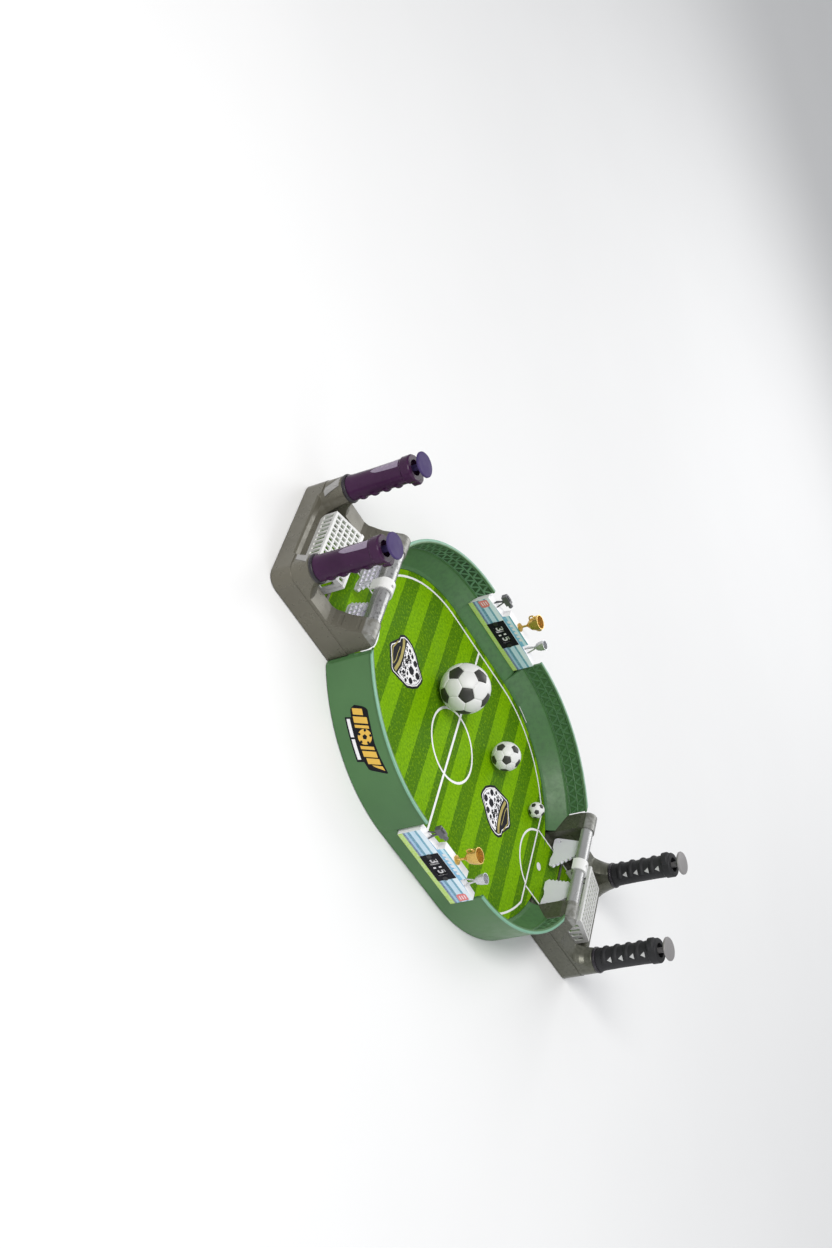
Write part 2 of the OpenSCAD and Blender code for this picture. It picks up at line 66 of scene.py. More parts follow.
# ---------------------------------------------------------------- materials
class Shade:
    """A Principled material with procedural colour, roughness and bump."""

    def __init__(self, name):
        self.m = bpy.data.materials.new(name)
        self.m.use_nodes = True
        self.t = self.m.node_tree
        self.b = self.t.nodes["Principled BSDF"]
        self.co = self.t.nodes.new("ShaderNodeTexCoord").outputs["Object"]

    def new(self, kind, **sockets):
        n = self.t.nodes.new(kind)
        for k, v in sockets.items():
            if hasattr(v, "links"):
                self.t.links.new(v, n.inputs[k])
            else:
                n.inputs[k].default_value = v
        return n

    def math(self, op, a, b=0.0):
        n = self.t.nodes.new("ShaderNodeMath")
        n.operation = op
        for i, v in enumerate((a, b)):
            if hasattr(v, "links"):
                self.t.links.new(v, n.inputs[i])
            else:
                n.inputs[i].default_value = v
        return n.outputs[0]

    def mul(self, a, b):
        return self.math("MULTIPLY", a, b)

    def add(self, a, b):
        return self.math("ADD", a, b)

    def sub(self, a, b):
        return self.math("SUBTRACT", a, b)

    def inv(self, a):
        return self.math("SUBTRACT", 1.0, a)

    def absolute(self, a):
        return self.math("ABSOLUTE", a)

    def noise(self, scale, detail=3.0, rough=0.5, stretch=(1, 1, 1)):
        src = self.co
        if stretch != (1, 1, 1):
            mp = self.t.nodes.new("ShaderNodeMapping")
            mp.inputs["Scale"].default_value = stretch
            self.t.links.new(self.co, mp.inputs["Vector"])
            src = mp.outputs[0]
        n = self.new("ShaderNodeTexNoise", Vector=src, Scale=scale, Detail=detail, Roughness=rough)
        return n.outputs["Fac"]

    def mix(self, fac, a, b):
        n = self.t.nodes.new("ShaderNodeMix")
        n.data_type = "RGBA"
        for sock, v in ((n.inputs[0], fac), (n.inputs[6], a), (n.inputs[7], b)):
            if hasattr(v, "links"):
                self.t.links.new(v, sock)
            elif isinstance(v, (int, float)):
                sock.default_value = v
            else:
                sock.default_value = (*v[:3], 1.0)
        return n.outputs[2]

    def range(self, v, a, b, c, d):
        n = self.new("ShaderNodeMapRange", Value=v)
        for i, x in ((1, a), (2, b), (3, c), (4, d)):
            n.inputs[i].default_value = x
        return n.outputs[0]

    def step(self, v, edge, soft):
        return self.range(v, edge - soft, edge + soft, 0.0, 1.0)

    def xyz(self):
        n = self.new("ShaderNodeSeparateXYZ", Vector=self.co)
        return n.outputs[0], n.outputs[1], n.outputs[2]

    def set(self, **sockets):
        for k, v in sockets.items():
            key = k.replace("_", " ")
            if hasattr(v, "links"):
                self.t.links.new(v, self.b.inputs[key])
            else:
                self.b.inputs[key].default_value = v

    def bump(self, height, strength, distance, edge=0.0):
        n = self.new("ShaderNodeBump", Height=height, Strength=strength, Distance=distance)
        if edge:
            e = self.new("ShaderNodeBevel", Radius=edge)
            e.samples = 4
            self.t.links.new(e.outputs[0], n.inputs["Normal"])
        self.t.links.new(n.outputs[0], self.b.inputs["Normal"])


def plastic(name, col, rough=0.35, vary=0.08, metal=0.0, grain=2600.0, grain_mm=0.02, edge=0.0005,
            streak=(1, 1, 1), spec=0.5, scuff=0.10):
    """Moulded or coated surface: mottled colour, scuffs, uneven gloss, fine grain, soft edges."""
    s = Shade(name)
    big = s.noise(14.0, 4.0, 0.6, streak)
    dust = s.noise(90.0, 5.0, 0.65, streak)
    dark = tuple(c * (1 - vary) for c in col)
    lite = tuple(min(1.0, c * (1 + vary) + 0.004) for c in col)
    base = s.mix(s.range(big, 0.3, 0.7, 0.0, 1.0), dark, lite)
    worn = s.range(dust, 0.58, 0.74, 0.0, scuff)
    base = s.mix(worn, base, tuple(min(1.0, c * 0.8 + 0.12) for c in col))
    s.set(Base_Color=base, Metallic=metal, Specular_IOR_Level=spec)
    s.set(Roughness=s.range(dust, 0.3, 0.75, max(0.05, rough - 0.07), rough + 0.12))
    s.bump(s.noise(grain, 2.0, 0.5), 0.35, grain_mm * MM, edge)
    return s


def wall_shade():
    """Green wall with a lattice on the inside, painted shade on its inner face and under the rim, and a pale
    painted highlight along the rim.
    """
    s = Shade("green_wall_mould")
    x, y, z = s.xyz()
    xa = s.sub(s.absolute(x), 0.062)
    xc = s.math("MAXIMUM", xa, 0.0)
    r = s.math("SQRT", s.add(s.mul(xc, xc), s.mul(y, y)))
    u = s.mul(s.math("ARCTAN2", s.absolute(y), xa), 0.184)
    inside = s.inv(s.step(r, 0.1848, 0.0002))
    upper = s.mul(s.step(z, 0.0356, 0.0003), s.inv(s.step(z, 0.0578, 0.0003)))
    zone = s.mul(inside, upper)
    # two rows of zigzag ribs between level lines
    wob = s.mul(s.sub(s.noise(90.0, 2.0), 0.5), 0.004)
    saw = s.math("FRACT", s.mul(s.add(s.add(u, wob), 2.0), 76.0))
    tri = s.mul(s.absolute(s.sub(saw, 0.5)), 2.0)
    rowf = s.math("FRACT", s.mul(s.sub(z, 0.0356), 90.0))
    ribs = s.inv(s.step(s.absolute(s.sub(tri, rowf)), 0.21, 0.08))
    for level in (0.0358, 0.0467, 0.0574):
        row = s.inv(s.step(s.absolute(s.sub(z, level)), 0.0008, 0.0003))
        ribs = s.math("MAXIMUM", ribs, row)
    ribs = s.mul(ribs, zone)
    # the pattern is crisp but for the far side of the black end, where it fades to streaks
    crisp = s.mul(s.range(x, -0.03, 0.05, 0.0, 0.74), s.step(y, 0.0, 0.02))
    crisp = s.inv(crisp)
    crisp = s.mul(crisp, s.range(s.noise(38.0, 3.0, 0.6, (1, 1, 0.4)), 0.30, 0.60, 0.60, 1.0))
    big = s.noise(10.0, 4.0, 0.6)
    base = s.mix(s.range(big, 0.3, 0.7, 0.0, 1.0), (0.056, 0.150, 0.050), (0.074, 0.184, 0.064))
    # painted shade: the inner face of the wall gets darker random mottling
    inside_shade_mottle = s.mul(s.mul(inside, s.range(s.noise(160.0, 4.0, 0.65), 0.42, 0.7, 0.0, 0.55)), 0.8)
    base = s.mix(inside_shade_mottle, base, (0.036, 0.078, 0.040))
    # painted shade: the upper band of the inner face, under the rim, is darkened
    base = s.mix(s.mul(s.mul(zone, crisp), 0.86), base, (0.018, 0.046, 0.028))
    base = s.mix(s.mul(s.mul(ribs, crisp), 0.92), base, (0.170, 0.350, 0.205))
    # painted highlight: the top of the wall's rim is made pale mint
    rim = s.mul(s.step(z, 0.0584, 0.0002), s.step(r, 0.1850, 0.0003))
    base = s.mix(rim, base, (0.175, 0.38, 0.26))
    s.set(Base_Color=base, Specular_IOR_Level=0.4)
    s.set(Roughness=s.range(s.noise(80.0, 5.0, 0.6), 0.3, 0.75, 0.30, 0.48))
    h = s.add(ribs, s.mul(s.noise(2200.0, 2.0), 0.03))
    s.bump(h, 0.9, 0.0007, 0.0004)
    return s


def turf_shade():
    """Printed grass with mown stripes and dark and light tufts."""
    s = Shade("turf_printed")
    x, y, z = s.xyz()
    blades = s.noise(900.0, 3.0, 0.7, (1, 0.45, 1))
    patch = s.noise(24.0, 3.0, 0.55)
    f = s.math("FRACT", s.mul(s.add(x, 1.0125), 20.0))
    lit = s.step(f, 0.5, 0.012)
    dark = s.mix(blades, (0.034, 0.120, 0.001), (0.098, 0.240, 0.006))
    lite = s.mix(blades, (0.105, 0.280, 0.000), (0.235, 0.470, 0.003))
    base = s.mix(lit, dark, lite)
    base = s.mix(s.range(patch, 0.40, 0.75, 0.0, 0.16), base, (0.20, 0.36, 0.00))
    tuft = s.noise(310.0, 2.0, 0.8)
    base = s.mix(s.range(tuft, 0.50, 0.66, 0.0, 0.42), base, (0.035, 0.120, 0.000))
    base = s.mix(s.range(tuft, 0.32, 0.47, 0.40, 0.0), base, (0.320, 0.560, 0.000))
    s.set(Base_Color=base, Specular_IOR_Level=0.04)
    s.set(Roughness=s.range(patch, 0.3, 0.7, 0.55, 0.75))
    s.bump(blades, 0.35, 0.0001)
    return s


def board_shade():
    """Printed bands on both faces of a scoreboard, white on its edges."""
    s = Shade("board_print")
    x, y, z = s.xyz()
    normal = s.t.nodes.new("ShaderNodeNewGeometry").outputs["Normal"]
    side = s.new("ShaderNodeSeparateXYZ", Vector=normal).outputs[1]
    face = s.step(s.absolute(side), 0.6, 0.1)
    n = s.t.nodes.new("ShaderNodeValToRGB")
    stops = [
        (0.000, (0.42, 0.62, 0.06)), (0.150, (0.46, 0.66, 0.08)), (0.156, (0.05, 0.10, 0.26)),
        (0.215, (0.08, 0.14, 0.32)), (0.222, (0.30, 0.52, 0.72)), (0.290, (0.24, 0.46, 0.68)),
        (0.297, (0.04, 0.22, 0.34)), (0.370, (0.05, 0.27, 0.40)), (0.378, (0.55, 0.74, 0.86)),
        (0.520, (0.50, 0.70, 0.84)), (0.528, (0.05, 0.30, 0.44)), (0.585, (0.07, 0.34, 0.48)),
        (0.592, (0.72, 0.84, 0.92)), (0.735, (0.78, 0.88, 0.94)), (0.742, (0.10, 0.40, 0.66)),
        (0.86, (0.16, 0.50, 0.76)), (0.868, (0.62, 0.82, 0.92)), (0.95, (0.56, 0.80, 0.92)),
        (0.958, (0.05, 0.36, 0.48)), (1.000, (0.05, 0.36, 0.48)),
    ]
    e = n.color_ramp.elements
    e[0].position, e[0].color = stops[0][0], (*stops[0][1], 1)
    e[1].position, e[1].color = stops[-1][0], (*stops[-1][1], 1)
    for p, c in stops[1:-1]:
        k = e.new(p)
        k.color = (*c, 1)
    crowd = s.noise(420.0, 4.0, 0.7)
    zz = s.add(s.range(z, 0.0213, 0.061, 0.0, 1.0), s.mul(s.sub(crowd, 0.5), 0.008))
    s.t.links.new(zz, n.inputs[0])
    print_col = s.mix(s.range(crowd, 0.35, 0.7, 0.0, 0.35), n.outputs[0], (0.80, 0.88, 0.93))
    white = s.mix(s.noise(20.0), (0.80, 0.80, 0.82), (0.90, 0.90, 0.91))
    s.set(Base_Color=s.mix(face, white, print_col), Specular_IOR_Level=0.5)
    s.set(Roughness=s.range(s.noise(60.0), 0.3, 0.7, 0.28, 0.42))
    s.bump(s.noise(1800.0, 2.0), 0.25, 0.00002, 0.0004)
    return s


def frame_shade():
    """Metallic taupe with a pale painted highlight round each handle's seat and grey caps on the beam's
    posts.
    """
    s = plastic("frame_m", (0.122, 0.114, 0.086), 0.30, 0.12, metal=0.30, grain=3200.0, grain_mm=0.012,
                edge=0.0011, scuff=0.05)
    x, y, z = s.xyz()
    plain = s.b.inputs["Base Color"].links[0].from_socket
    # pale painted highlight that winds down from each handle's seat to the bar, with a dark border
    dx = s.sub(s.absolute(x), BOSS_X * MM)
    dy = s.sub(s.absolute(y), BOSS_Y * MM)
    ang = s.mul(s.math("ARCTAN2", dy, dx), math.degrees(1))
    t = s.range(z, 0.0270, 0.0455, 0.0, 1.0)
    off = s.absolute(s.sub(ang, s.sub(s.mul(t, 34.0), 44.0)))
    half = s.add(s.mul(t, 7.0), 16.0)
    level = s.mul(s.step(z, 0.0285, 0.0003), s.inv(s.step(z, 0.0452, 0.0003)))
    near = s.inv(s.step(s.add(s.mul(dx, dx), s.mul(dy, dy)), 0.0011, 0.00002))
    level = s.mul(level, near)
    painted_highlight = s.mul(level, s.inv(s.step(s.sub(off, half), 0.0, 0.8)))
    seam = s.mul(level, s.inv(s.step(s.sub(off, half), 3.2, 0.8)))
    fleck = s.mul(s.step(x, 0.0, 0.05), s.range(s.noise(230.0, 4.0, 0.7), 0.42, 0.66, 0.0, 0.6))
    plain = s.mix(s.mul(s.step(x, 0.0, 0.05), 0.7), plain, (0.098, 0.103, 0.078))
    plain = s.mix(fleck, plain, (0.050, 0.054, 0.038))
    # silver-grey caps on the posts that carry the crossbeam
    cap = s.mul(s.step(z, 0.0585, 0.0006), s.range(s.noise(150.0, 4.0, 0.6), 0.40, 0.62, 0.35, 0.9))
    plain = s.mix(cap, plain, (0.33, 0.33, 0.315))
    base = s.mix(s.mul(seam, 0.75), plain, (0.030, 0.028, 0.024))
    # painted highlight: the pale patch on each handle's seat
    base = s.mix(painted_highlight, base, s.mix(s.noise(120.0, 4.0, 0.6), (0.25, 0.25, 0.24), (0.40, 0.39, 0.38)))
    s.set(Base_Color=base)
    return s


def beam_shade():
    """Silver coating, spotted on the beam at the purple end."""
    s = plastic("beam_m", (0.42, 0.42, 0.42), 0.25, 0.22, metal=0.65, streak=(1, 0.25, 1), grain_mm=0.01)
    x, y, z = s.xyz()
    plain = s.b.inputs["Base Color"].links[0].from_socket
    cells = s.new("ShaderNodeTexVoronoi", Vector=s.co, Scale=230.0)
    spots = s.range(cells.outputs["Distance"], 0.15, 0.55, 1.0, 0.0)
    left = s.inv(s.step(x, -0.1, 0.01))
    top = s.step(s.absolute(s.add(x, 0.238)), 0.0072, 0.0006)
    spots = s.mul(s.mul(spots, left), s.inv(top))
    s.set(Base_Color=s.mix(s.mul(spots, 0.75), plain, (0.10, 0.10, 0.10)))
    return s


M = {
    "green_base": plastic("green_base_m", (0.07, 0.22, 0.09), 0.45),
    "turf_print": turf_shade(),
    "green_wall": wall_shade(),
    "foot_rubber": plastic("foot_rubber_m", (0.02, 0.02, 0.02), 0.75, grain_mm=0.06, grain=1500.0),
    "steel": plastic("steel_m", (0.56, 0.57, 0.59), 0.25, 0.04, metal=1.0, grain_mm=0.005),
    "spring_steel": plastic("spring_m", (0.55, 0.55, 0.56), 0.25, 0.04, metal=1.0, grain_mm=0.003, edge=0),
    "board_white": board_shade(),
    "gold_coat": plastic("gold_m", (0.68, 0.45, 0.12), 0.22, 0.16, metal=0.72, grain_mm=0.01, edge=0.0002),
    "silver_coat": plastic("silver_m", (0.55, 0.56, 0.58), 0.22, 0.10, metal=0.60, grain_mm=0.01,
                           edge=0.0002),
    "camera_grey": plastic("camera_m", (0.11, 0.112, 0.12), 0.35, 0.12, metal=0.3),
    "frame_taupe": frame_shade(),
    "cover_grey": plastic("cover_m", (0.08, 0.075, 0.065), 0.55, grain_mm=0.05),
    "beam_silver": beam_shade(),
    "white_plastic": plastic("white_m", (0.78, 0.78, 0.77), 0.32, 0.04, edge=0.0004),
    "collar_black": plastic("collar_m", (0.016, 0.013, 0.018), 0.28, 0.2, edge=0.0004),
    "grip_purple": plastic("grip_purple_m", (0.040, 0.011, 0.042), 0.20, 0.28, grain_mm=0.004, edge=0.0006,
                           spec=0.14, scuff=0.01),
    "grip_black": plastic("grip_black_m", (0.020, 0.020, 0.022), 0.55, 0.3, grain=1900.0, grain_mm=0.05,
                          edge=0.0006, spec=0.25, scuff=0.06),
    "button_violet": plastic("button_violet_m", (0.054, 0.036, 0.120), 0.50, 0.14, spec=0.12, scuff=0.03),
    "button_grey": plastic("button_grey_m", (0.26, 0.25, 0.25), 0.33, 0.08, metal=0.3),
    "acetal": plastic("acetal_m", (0.66, 0.63, 0.55), 0.5),
    "kicker_white": plastic("kicker_m", (0.80, 0.78, 0.88), 0.34, 0.04, edge=0.0004),
    "dial_black": plastic("dial_m", (0.012, 0.012, 0.014), 0.45, 0.2),
    "ball_white": plastic("ball_white_m", (0.78, 0.78, 0.77), 0.42, 0.05, grain=1300.0, grain_mm=0.05,
                          edge=0),
    # finishes of the added pieces
    "ball_dark": plastic("ball_dark_m", (0.035, 0.035, 0.030), 0.45, 0.25, grain=1300.0, grain_mm=0.05,
                         edge=0),
    "line_white": plastic("line_white_m", (0.83, 0.82, 0.84), 0.5, 0.04, grain_mm=0.01, edge=0),
    "print_black": plastic("print_black_m", (0.010, 0.010, 0.014), 0.6, 0.2, grain_mm=0.01, edge=0, spec=0.1,
                           scuff=0.03),
    "print_gold": plastic("print_gold_m", (0.34, 0.28, 0.075), 0.5, 0.25, grain_mm=0.01, edge=0, spec=0.2),
    "print_yellow": plastic("print_yellow_m", (0.74, 0.45, 0.06), 0.38, 0.06, grain_mm=0.01, edge=0),
    "print_red": plastic("print_red_m", (0.70, 0.18, 0.18), 0.4, 0.15, grain_mm=0.01, edge=0),
    # painted highlight on the left grips, pale violet
    "grip_highlight_violet": plastic("grip_highlight_violet_m", (0.22, 0.17, 0.25), 0.25, 0.06, grain_mm=0.01, edge=0),
    # painted highlights between the finger ridges of the right grips, light grey
    "grip_highlight_grey": plastic("grip_highlight_grey_m", (0.50, 0.50, 0.50), 0.3, 0.06, grain_mm=0.01, edge=0),
}

for sp in frame["record"]["subparts"]:
    o = nodes[sp["node"]]
    o.data.materials.clear()
    o.data.materials.append(M[sp["material_slot"]].m)


# ---------------------------------------------------------------- small builders
def mesh_obj(name, verts, faces, mat, body="table", smooth=False, mats=None, fmat=None):
    me = bpy.data.meshes.new(name)
    me.from_pydata([Vector(v) for v in verts], [], faces)
    for m in mats or [mat]:
        me.materials.append(M[m].m)
    if fmat:
        for p, i in zip(me.polygons, fmat):
            p.material_index = i
    if smooth:
        for p in me.polygons:
            p.use_smooth = True
    me.update()
    o = bpy.data.objects.new(name, me)
    bpy.context.scene.collection.objects.link(o)
    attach(o, body)
    return o


class Flat:
    """Thin printed shapes on a surface given by place(u, v, h) -> point, in millimetres."""

    def __init__(self, place):
        self.place = place
        self.v, self.f = [], []

    def quad(self, a, b, c, d, h):
        i = len(self.v)
        self.v += [self.place(*p, h) for p in (a, b, c, d)]
        self.f.append((i, i + 1, i + 2, i + 3))

    def ribbon(self, pts, width, h, closed=False):
        n = len(pts)
        left, right = [], []
        for i, p in enumerate(pts):
            a = pts[(i - 1) % n] if closed or i > 0 else p
            b = pts[(i + 1) % n] if closed or i < n - 1 else p
            d = Vector((b[0] - a[0], b[1] - a[1])).normalized()
            nn = Vector((-d.y, d.x)) * width / 2
            left.append((p[0] + nn.x, p[1] + nn.y))
            right.append((p[0] - nn.x, p[1] - nn.y))
        for i in range(n if closed else n - 1):
            j = (i + 1) % n
            self.quad(right[i], right[j], left[j], left[i], h)

    def poly(self, pts, h):
        """A filled convex-enough outline, as a fan round its middle."""
        cx = sum(p[0] for p in pts) / len(pts)
        cy = sum(p[1] for p in pts) / len(pts)
        k = len(self.v)
        self.v.append(self.place(cx, cy, h))
        self.v += [self.place(*p, h) for p in pts]
        n = len(pts)
        for i in range(n):
            self.f.append((k, k + 1 + i, k + 1 + (i + 1) % n))

    def disc(self, c, r, h, n=32):
        turns = [2 * math.pi * i / n for i in range(n)]
        self.poly([(c[0] + r * math.cos(a), c[1] + r * math.sin(a)) for a in turns], h)

    def done(self, name, mat, slot, body="table"):
        return mesh_obj(name, self.v, self.f, mat, body)


def arc(cx, cy, r, a0, a1, n=48):
    turns = [math.radians(a0 + (a1 - a0) * i / n) for i in range(n + 1)]
    return [(cx + r * math.cos(a), cy + r * math.sin(a)) for a in turns]


# ---------------------------------------------------------------- pitch markings
def on_turf(u, v, h):
    return (u * MM, v * MM, (TURF_Z + h) * MM)


LINE_R = 157.5
CIRCLE_R = 45
GOAL_LINE_X = 203
lines = Flat(on_turf)
end_a = math.degrees(math.acos((GOAL_LINE_X - STRAIGHT_X) / LINE_R))
far_line = arc(STRAIGHT_X, 0, LINE_R, end_a, 90) + arc(-STRAIGHT_X, 0, LINE_R, 90, 180 - end_a)
near_line = arc(-STRAIGHT_X, 0, LINE_R, 180 + end_a, 270) + arc(STRAIGHT_X, 0, LINE_R, 270, 360 - end_a)
lines.ribbon(far_line, 2.6, 0.06)
lines.ribbon(near_line, 2.6, 0.06)
lines.ribbon([(0, -156.6), (0, 156.6)], 3.6, 0.07)
lines.ribbon(arc(0, 0, CIRCLE_R, 0, 352.5, 47), 3.0, 0.08, closed=True)
for s in (-1, 1):
    lines.ribbon([(s * GOAL_LINE_X, -71), (s * GOAL_LINE_X, 71)], 2.8, 0.07)
    half = math.degrees(math.acos((220 - GOAL_LINE_X) / CIRCLE_R))
    middle = 180 if s > 0 else 0
    lines.ribbon(arc(s * 220, 0, CIRCLE_R, middle - half, middle + half), 2.8, 0.08)
    lines.disc((s * 222, 0), 5.2, 0.08)
    for t in (-1, 1):
        lines.ribbon([(s * GOAL_LINE_X, t * 44.4), (s * 285, t * 44.4)], 2.2, 0.07)
lines.done("pitch_lines", "line_white", "turf_print")


# the same plain shield on both halves
def shield(cx, cy, turn, tag):
    c, s = math.cos(turn), math.sin(turn)

    def place(u, v, h):
        return on_turf(cx + c * u - s * v, cy + s * u + c * v, h)

    outline = [
        (-14, 32), (-7, 34.2), (3, 33.8), (15, 28.4), (25, 20), (35, 13.5), (38, 10), (37.6, 4.5),
        (34, -6), (26.5, -14.3), (17, -21.7), (2, -24.3), (-14, -27), (-18, -25), (-22.4, -16.8),
        (-31.2, -1.6), (-31, 3), (-27.5, 8), (-20, 20), (-19.9, 26),
    ]

    def shrunk(d):
        mx, my = 2.0, 3.0
        out = []
        for x, y in outline:
            r = math.hypot(x - mx, y - my)
            out.append((mx + (x - mx) * (1 - d / r), my + (y - my) * (1 - d / r)))
        return out

    black, white, gold, spots = Flat(place), Flat(place), Flat(place), Flat(place)
    black.poly(shrunk(-1.0), 0.10)
    white.poly(shrunk(1.9), 0.13)
    spots.poly(shrunk(3.3), 0.16)
    spotted = [
        (-6, 29), (4, 29.5), (14, 24.5), (24, 16), (32.5, 10), (33.5, 4), (30, -5), (23, -12.5),
        (15, -18.5), (2, -20.6), (-5.5, -20), (-3, -9), (-2.6, 3), (-4.6, 16),
    ]
    white.poly(spotted, 0.19)
    gold.ribbon([(-12.5, 27.5), (-9.2, 18.3), (-7.6, 4.3), (-8, -7.8), (-11, -21.3)], 4.6, 0.22)
    gold.ribbon([(-20.5, 16.5), (-25.6, 1.2), (-22.7, -8.4), (-17.4, -17.6)], 1.8, 0.22)
    gold.ribbon([(-14.6, 13), (-15.0, 2), (-14.6, -9), (-16.4, -16)], 1.2, 0.22)
    big_spots = (
        (18.3, 17, 4.0), (10, 20.5, 2.6), (28, 6.5, 4.4), (15.6, 3.4, 5.2), (3.0, 23.6, 2.2),
        (4.2, 14.6, 2.8),
        (2.6, 5.4, 2.4), (4.6, -2.4, 1.9), (3.6, -10.6, 2.6), (19.4, -9.6, 4.0), (11.0, -16.4, 2.4),
        (-1.2, -15.6, 1.8), (10.6, -6.4, 2.0), (25.0, -3.4, 1.6), (9.6, 11.0, 1.4), (23.6, 12.6, 1.4),
        (0.4, -5.6, 1.2), (7.6, -13.0, 1.2), (-0.6, 10.4, 1.3), (-2.0, 20.0, 1.5), (-1.0, 0.0, 1.1),
        (12.6, -11.6, 1.4), (21.0, 0.0, 1.2), (28.0, -0.8, 1.3),
    )
    for x, y, r in big_spots:
        r *= 1.22
        blob = []
        for k in range(7):
            a = 2 * math.pi * k / 7
            uneven = 0.82 + 0.3 * ((k * 7) % 3) / 2
            blob.append((x + r * uneven * math.cos(a), y + r * 0.9 * math.sin(a)))
        spots.poly(blob, 0.24)
    dice = random.Random(11)
    for _ in range(150):
        # small flecks beside the gold band
        y = dice.uniform(-17.5, 25)
        x = dice.uniform(-3.0, 13) - 0.0045 * (y - 4) ** 2
        r, turn0 = dice.uniform(0.5, 1.35), dice.uniform(0, 6.28)
        fleck = []
        for k in range(5):
            a = turn0 + 1.2566 * k
            px = x + r * dice.uniform(0.6, 1.3) * math.cos(a)
            py = y + r * dice.uniform(0.6, 1.3) * math.sin(a)
            fleck.append((px, py))
        spots.poly(fleck, 0.25)
    black.done(f"shield_{tag}_edge", "print_black", "turf_print")
    white.done(f"shield_{tag}_white", "line_white", "turf_print")
    gold.done(f"shield_{tag}_gold", "print_gold", "turf_print")
    spots.done(f"shield_{tag}_spots", "print_black", "turf_print")


shield(-121.4, 15.9, 0.0, "left")
shield(114, 0, math.pi, "right")

# short white marks at the foot of the wall
marks = Flat(lambda u, v, h: (u * MM, v * MM, (11.2 + h) * MM))
for s in (-1, 1):
    a0, a1 = (68, 76) if s > 0 else (248, 256)
    marks.ribbon(arc(s * STRAIGHT_X, 0, 168.4, a0, a1, 8), 2.4, 0.15)
marks.done("wall_foot_marks", "line_white", "green_wall")


# ---------------------------------------------------------------- badges on the outer walls
def on_wall(sx, deg):
    def place(u, v, h):
        a = math.radians(deg) - u / 187.0
        r = 187.0 + h
        return ((sx * STRAIGHT_X + sx * r * math.sin(a)) * MM, sx * r * math.cos(a) * MM, (34 + v) * MM)

    return place


def wall_badge(sx, tag):
    place = on_wall(sx, 34)
    black, gold, white = Flat(place), Flat(place), Flat(place)
    # dark silhouette: a banner with a lower strip
    top = [
        (-38.9, -2.6), (-36.5, 4), (-34.7, 8.4), (-31, 12.2), (-13.5, 11.6), (5.3, 10.4), (20, 11.4),
        (32, 12.8), (40, 13.6),
    ]
    low = [
        (-38.9, -3.0), (-36.5, -8), (-34.7, -8.6), (-31, -9.2), (-13.5, -9.8), (5.3, -10), (20, -9.6),
        (32, -6.8), (40, 11.4),
    ]

    def at(line, u):
        for (u0, v0), (u1, v1) in zip(line, line[1:]):
            if u <= u1:
                return v0 + (v1 - v0) * (u - u0) / (u1 - u0)
        return line[-1][1]

    us = [-38.9 + 78.9 * i / 44 for i in range(45)]
    for u0, u1 in zip(us, us[1:]):
        black.quad((u0, at(low, u0)), (u1, at(low, u1)), (u1, at(top, u1)), (u0, at(top, u0)), 0.10)

    def bar(fl, u0, u1, v0, v1, lean, h, n=6):
        # slanted block, cut into strips so that it follows the curved wall
        for i in range(n):
            a, b = u0 + (u1 - u0) * i / n, u0 + (u1 - u0) * (i + 1) / n
            fl.quad((a, v0), (b, v0), (b + lean, v1), (a + lean, v1), h)

    bar(black, -28.6, 20.6, -17.2, -9.0, 1.6, 0.11, 16)
    bar(white, -26.4, -6.6, -15.4, -11.4, 0.8, 0.20, 8)
    bar(white, -4.4, 18.2, -15.4, -11.4, 0.8, 0.20, 8)
    blocks = (
        (-36.2, -29.4, -6.4, 5.6), (-27.6, -20.6, -7.2, 9.2), (-18.6, -15.4, -7.4, 9.0),
        (4.4, 8.0, -7.4, 8.2), (10.0, 16.6, -7.0, 8.8), (18.6, 25.2, -5.0, 9.6),
    )
    for u0, u1, v0, v1 in blocks:
        bar(gold, u0, u1, v0, v1, (v1 - v0) * 0.28, 0.20)
    gold.quad((27.4, -1.2), (29.8, 1.0), (36.6, 11.4), (31.2, 10.4), 0.20)
    ball_u, ball_v = -3.6, 1.2
    gold.disc((ball_u, ball_v), 8.4, 0.20)
    turns = [math.radians(72 * k + 90) for k in range(5)]
    black.poly([(ball_u + 3.0 * math.cos(a), ball_v + 3.0 * math.sin(a)) for a in turns], 0.28)
    for a in turns:
        cu, cv = ball_u + 7.0 * math.cos(a), ball_v + 7.0 * math.sin(a)
        patch = [(cu + 1.7 * math.cos(a + t), cv + 1.7 * math.sin(a + t)) for t in (0.6, 1.7, 3.14, 4.5, 5.6)]
        black.poly(patch, 0.28)
    black.done(f"badge_{tag}_black", "print_black", "green_wall")
    gold.done(f"badge_{tag}_gold", "print_yellow", "green_wall")
    white.done(f"badge_{tag}_white", "line_white", "green_wall")


wall_badge(-1, "near")
wall_badge(1, "far")

# ---------------------------------------------------------------- scoreboards
# middle lines of the digits
STROKES = {
    1: [[(-1.4, 2.4), (0.4, 4), (0.4, -4)]],
    2: [[(-2, 2.6), (-1.2, 4), (1.2, 4), (2, 2.8), (1.8, 1.2), (-2, -4), (2.2, -4)]],
    3: [[(-2, 3.2), (-1, 4), (1.1, 4), (2, 3), (1.8, 1), (0.2, 0.1), (1.8, -0.8), (2, -3), (1.1, -4),
         (-1, -4), (-2, -3.2)]],
    4: [[(1.1, -4), (1.1, 4), (-2.1, -1.4), (2.2, -1.4)]],
    5: [[(2, 4), (-1.7, 4), (-1.9, 0.5), (0.8, 0.9), (2, -0.4), (2, -2.8), (0.9, -4), (-1, -4), (-2, -3.2)]],
}


